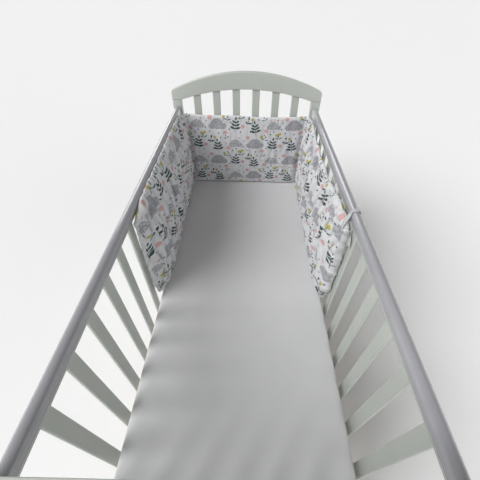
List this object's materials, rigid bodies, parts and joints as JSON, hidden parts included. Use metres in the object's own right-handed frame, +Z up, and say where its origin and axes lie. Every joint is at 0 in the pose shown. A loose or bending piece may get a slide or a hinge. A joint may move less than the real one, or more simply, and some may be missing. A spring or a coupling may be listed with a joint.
{
  "type": "padded crib bumper tied into a plain crib with its mattress",
  "caption": "Padded cloth bumper round the head half of a slatted crib, standing on the mattress and tied to the rails with tapes.",
  "frame": {"origin": "on the floor, under the middle of the crib", "axes": "+X to the right seen from the foot of the crib, +Y towards its head, +Z up"},
  "size_m": [0.696, 1.254, 0.999],
  "materials": {
    "printed_cotton": "matt",
    "tape_white": "matt",
    "ticking_white": "matt",
    "base_board": "matt",
    "rail_gloss": "gloss paint",
    "white_paint": "satin paint"
  },
  "bodies": {
    "root": {"bumper": "printed_cotton", "foot_arch": "white_paint", "foot_bottom_rail": "white_paint", "foot_post_left": "white_paint", "foot_post_right": "white_paint", "foot_slat_1": "white_paint", "foot_slat_2": "white_paint", "foot_slat_3": "white_paint", "foot_slat_4": "white_paint", "foot_slat_5": "white_paint", "foot_slat_6": "white_paint", "head_arch": "white_paint", "head_bottom_rail": "white_paint", "head_post_left": "white_paint", "head_post_right": "white_paint", "head_slat_1": "white_paint", "head_slat_2": "white_paint", "head_slat_3": "white_paint", "head_slat_4": "white_paint", "head_slat_5": "white_paint", "head_slat_6": "white_paint", "left_bottom_rail": "white_paint", "left_slat_01": "white_paint", "left_slat_02": "white_paint", "left_slat_03": "white_paint", "left_slat_04": "white_paint", "left_slat_05": "white_paint", "left_slat_06": "white_paint", "left_slat_07": "white_paint", "left_slat_08": "white_paint", "left_slat_09": "white_paint", "left_slat_10": "white_paint", "left_slat_11": "white_paint", "left_slat_12": "white_paint", "left_slat_13": "white_paint", "left_slat_14": "white_paint", "left_top_rail": "rail_gloss", "mattress": "ticking_white", "mattress_base": "base_board", "right_bottom_rail": "white_paint", "right_slat_01": "white_paint", "right_slat_02": "white_paint", "right_slat_03": "white_paint", "right_slat_04": "white_paint", "right_slat_05": "white_paint", "right_slat_06": "white_paint", "right_slat_07": "white_paint", "right_slat_08": "white_paint", "right_slat_09": "white_paint", "right_slat_10": "white_paint", "right_slat_11": "white_paint", "right_slat_12": "white_paint", "right_slat_13": "white_paint", "right_slat_14": "white_paint", "right_top_rail": "rail_gloss", "tie_left": "tape_white", "tie_right": "tape_white"}
  },
  "joints": []
}
